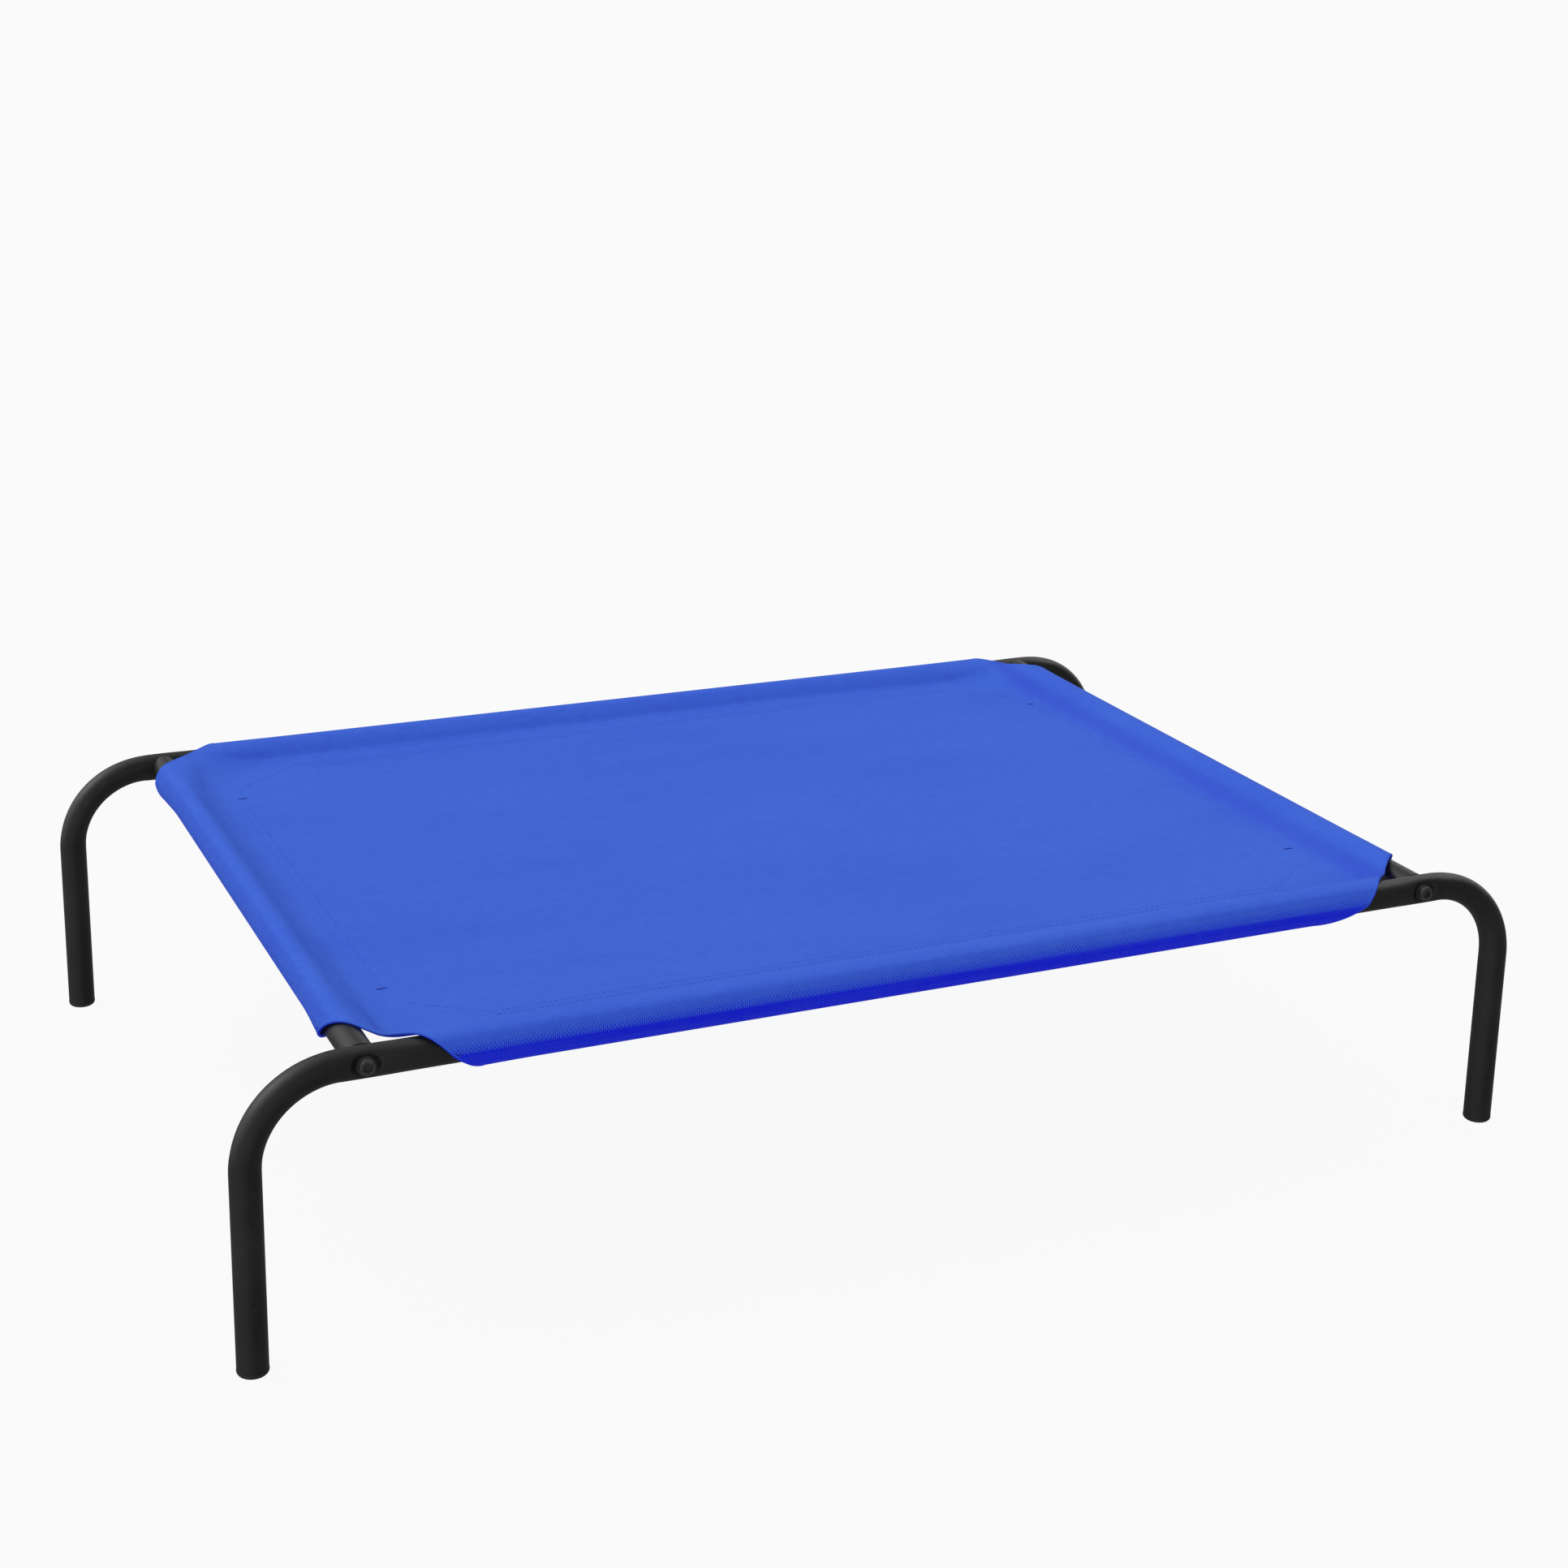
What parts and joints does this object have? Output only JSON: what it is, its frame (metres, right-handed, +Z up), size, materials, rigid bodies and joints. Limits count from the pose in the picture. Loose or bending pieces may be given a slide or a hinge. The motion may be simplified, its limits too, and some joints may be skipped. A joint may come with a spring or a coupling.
{
  "type": "raised dog bed",
  "caption": "Raised pet cot: a woven cover stretched over bent tube leg frames and bolted cross bars, holding a dog clear of the floor.",
  "frame": {"origin": "on the floor at the middle of the footprint", "axes": "+X along the long rails, +Y along the cross bars towards the back, +Z up"},
  "size_m": [0.897, 0.5902, 0.1956],
  "materials": {
    "frame": "black powder coat, satin",
    "foot_plug": "matte black polyethylene",
    "bolt": "black oxide, oiled",
    "insert": "zinc plated",
    "cover": "royal blue coated woven polyester, fine basket weave"
  },
  "bodies": {
    "root": {"front_leg_frame": "frame", "back_leg_frame": "frame", "left_cross_bar": "frame", "right_cross_bar": "frame", "front_left_foot_plug": "foot_plug", "front_left_bolt": "bolt", "front_left_washer": "bolt", "front_left_threaded_insert": "insert", "front_right_foot_plug": "foot_plug", "front_right_bolt": "bolt", "front_right_washer": "bolt", "front_right_threaded_insert": "insert", "back_left_foot_plug": "foot_plug", "back_left_bolt": "bolt", "back_left_washer": "bolt", "back_left_threaded_insert": "insert", "back_right_foot_plug": "foot_plug", "back_right_bolt": "bolt", "back_right_washer": "bolt", "back_right_threaded_insert": "insert", "sleeping_panel": "cover", "front_sleeve": "cover", "back_sleeve": "cover", "left_sleeve": "cover", "right_sleeve": "cover"}
  },
  "joints": []
}
